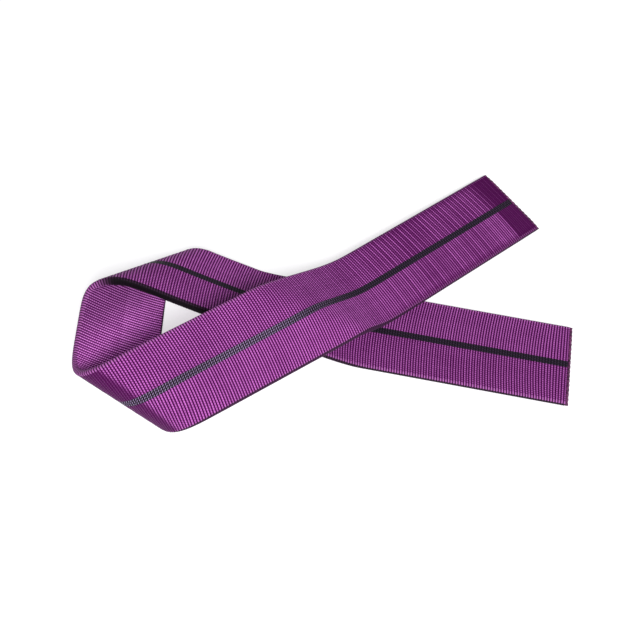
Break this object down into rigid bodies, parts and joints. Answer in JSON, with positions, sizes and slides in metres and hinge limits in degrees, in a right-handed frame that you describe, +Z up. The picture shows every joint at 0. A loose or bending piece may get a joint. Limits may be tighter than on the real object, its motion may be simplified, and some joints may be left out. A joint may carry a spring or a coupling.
{
  "type": "flat web sling",
  "caption": "Violet woven lifting web with a black centre stripe, laid down in an open crossed loop; both tails lift.",
  "frame": {"origin": "middle of the bounding box, on the ground that the web lies on", "axes": "+X along the longest extent, from the loop towards the tails; +Z up; +Y from the near side to the side that the upper tail points to"},
  "size_m": [0.2786, 0.1949, 0.0505],
  "materials": {
    "violet_face_weave": "ribbed violet polyester weave",
    "violet_back_weave": "ribbed violet polyester weave, no stripe",
    "black_marker_yarn": "black ribbed marker yarns",
    "violet_stuffer_yarn": "straight load yarns inside the weave",
    "violet_selvedge_weave": "dense dark violet woven edge",
    "heat_sealed_edge": "fused yarn at a hot-cut end"
  },
  "bodies": {
    "lower_tail_outer": {"lower_tail_outer_back": "violet_back_weave", "lower_tail_outer_core": "violet_stuffer_yarn", "lower_tail_outer_end_seal": "heat_sealed_edge", "lower_tail_outer_face_left": "violet_face_weave", "lower_tail_outer_face_right": "violet_face_weave", "lower_tail_outer_selvedge_left": "violet_selvedge_weave", "lower_tail_outer_selvedge_right": "violet_selvedge_weave", "lower_tail_outer_stripe": "black_marker_yarn"},
    "lower_tail_inner": {"lower_tail_inner_back": "violet_back_weave", "lower_tail_inner_core": "violet_stuffer_yarn", "lower_tail_inner_face_left": "violet_face_weave", "lower_tail_inner_face_right": "violet_face_weave", "lower_tail_inner_selvedge_left": "violet_selvedge_weave", "lower_tail_inner_selvedge_right": "violet_selvedge_weave", "lower_tail_inner_stripe": "black_marker_yarn"},
    "loop": {"loop_back": "violet_back_weave", "loop_core": "violet_stuffer_yarn", "loop_face_left": "violet_face_weave", "loop_face_right": "violet_face_weave", "loop_selvedge_left": "violet_selvedge_weave", "loop_selvedge_right": "violet_selvedge_weave", "loop_stripe": "black_marker_yarn"},
    "upper_tail_inner": {"upper_tail_inner_back": "violet_back_weave", "upper_tail_inner_core": "violet_stuffer_yarn", "upper_tail_inner_face_left": "violet_face_weave", "upper_tail_inner_face_right": "violet_face_weave", "upper_tail_inner_selvedge_left": "violet_selvedge_weave", "upper_tail_inner_selvedge_right": "violet_selvedge_weave", "upper_tail_inner_stripe": "black_marker_yarn"},
    "upper_tail_outer": {"upper_tail_outer_back": "violet_back_weave", "upper_tail_outer_core": "violet_stuffer_yarn", "upper_tail_outer_end_seal": "heat_sealed_edge", "upper_tail_outer_face_left": "violet_face_weave", "upper_tail_outer_face_right": "violet_face_weave", "upper_tail_outer_selvedge_left": "violet_selvedge_weave", "upper_tail_outer_selvedge_right": "violet_selvedge_weave", "upper_tail_outer_stripe": "black_marker_yarn"}
  },
  "joints": [
    {"name": "lower_tail_lift", "type": "hinge", "parent": "loop", "child": "lower_tail_inner", "pos_m": [0.08074, -0.02733, 0.003], "axis": [-0.1288, -0.9917, 0], "range_deg": [0, 45]},
    {"name": "lower_end_lift", "type": "hinge", "parent": "lower_tail_inner", "child": "lower_tail_outer", "pos_m": [0.10851, -0.03093, 0.003], "axis": [-0.1288, -0.9917, 0], "range_deg": [0, 45]},
    {"name": "upper_tail_lift", "type": "hinge", "parent": "loop", "child": "upper_tail_inner", "pos_m": [0.04836, 0.0273, 0.01141], "axis": [0.651, -0.7585, -0.0285], "range_deg": [0, 45]},
    {"name": "upper_end_lift", "type": "hinge", "parent": "upper_tail_inner", "child": "upper_tail_outer", "pos_m": [0.0785, 0.05331, 0.00752], "axis": [0.651, -0.7585, -0.0285], "range_deg": [0, 45]}
  ]
}
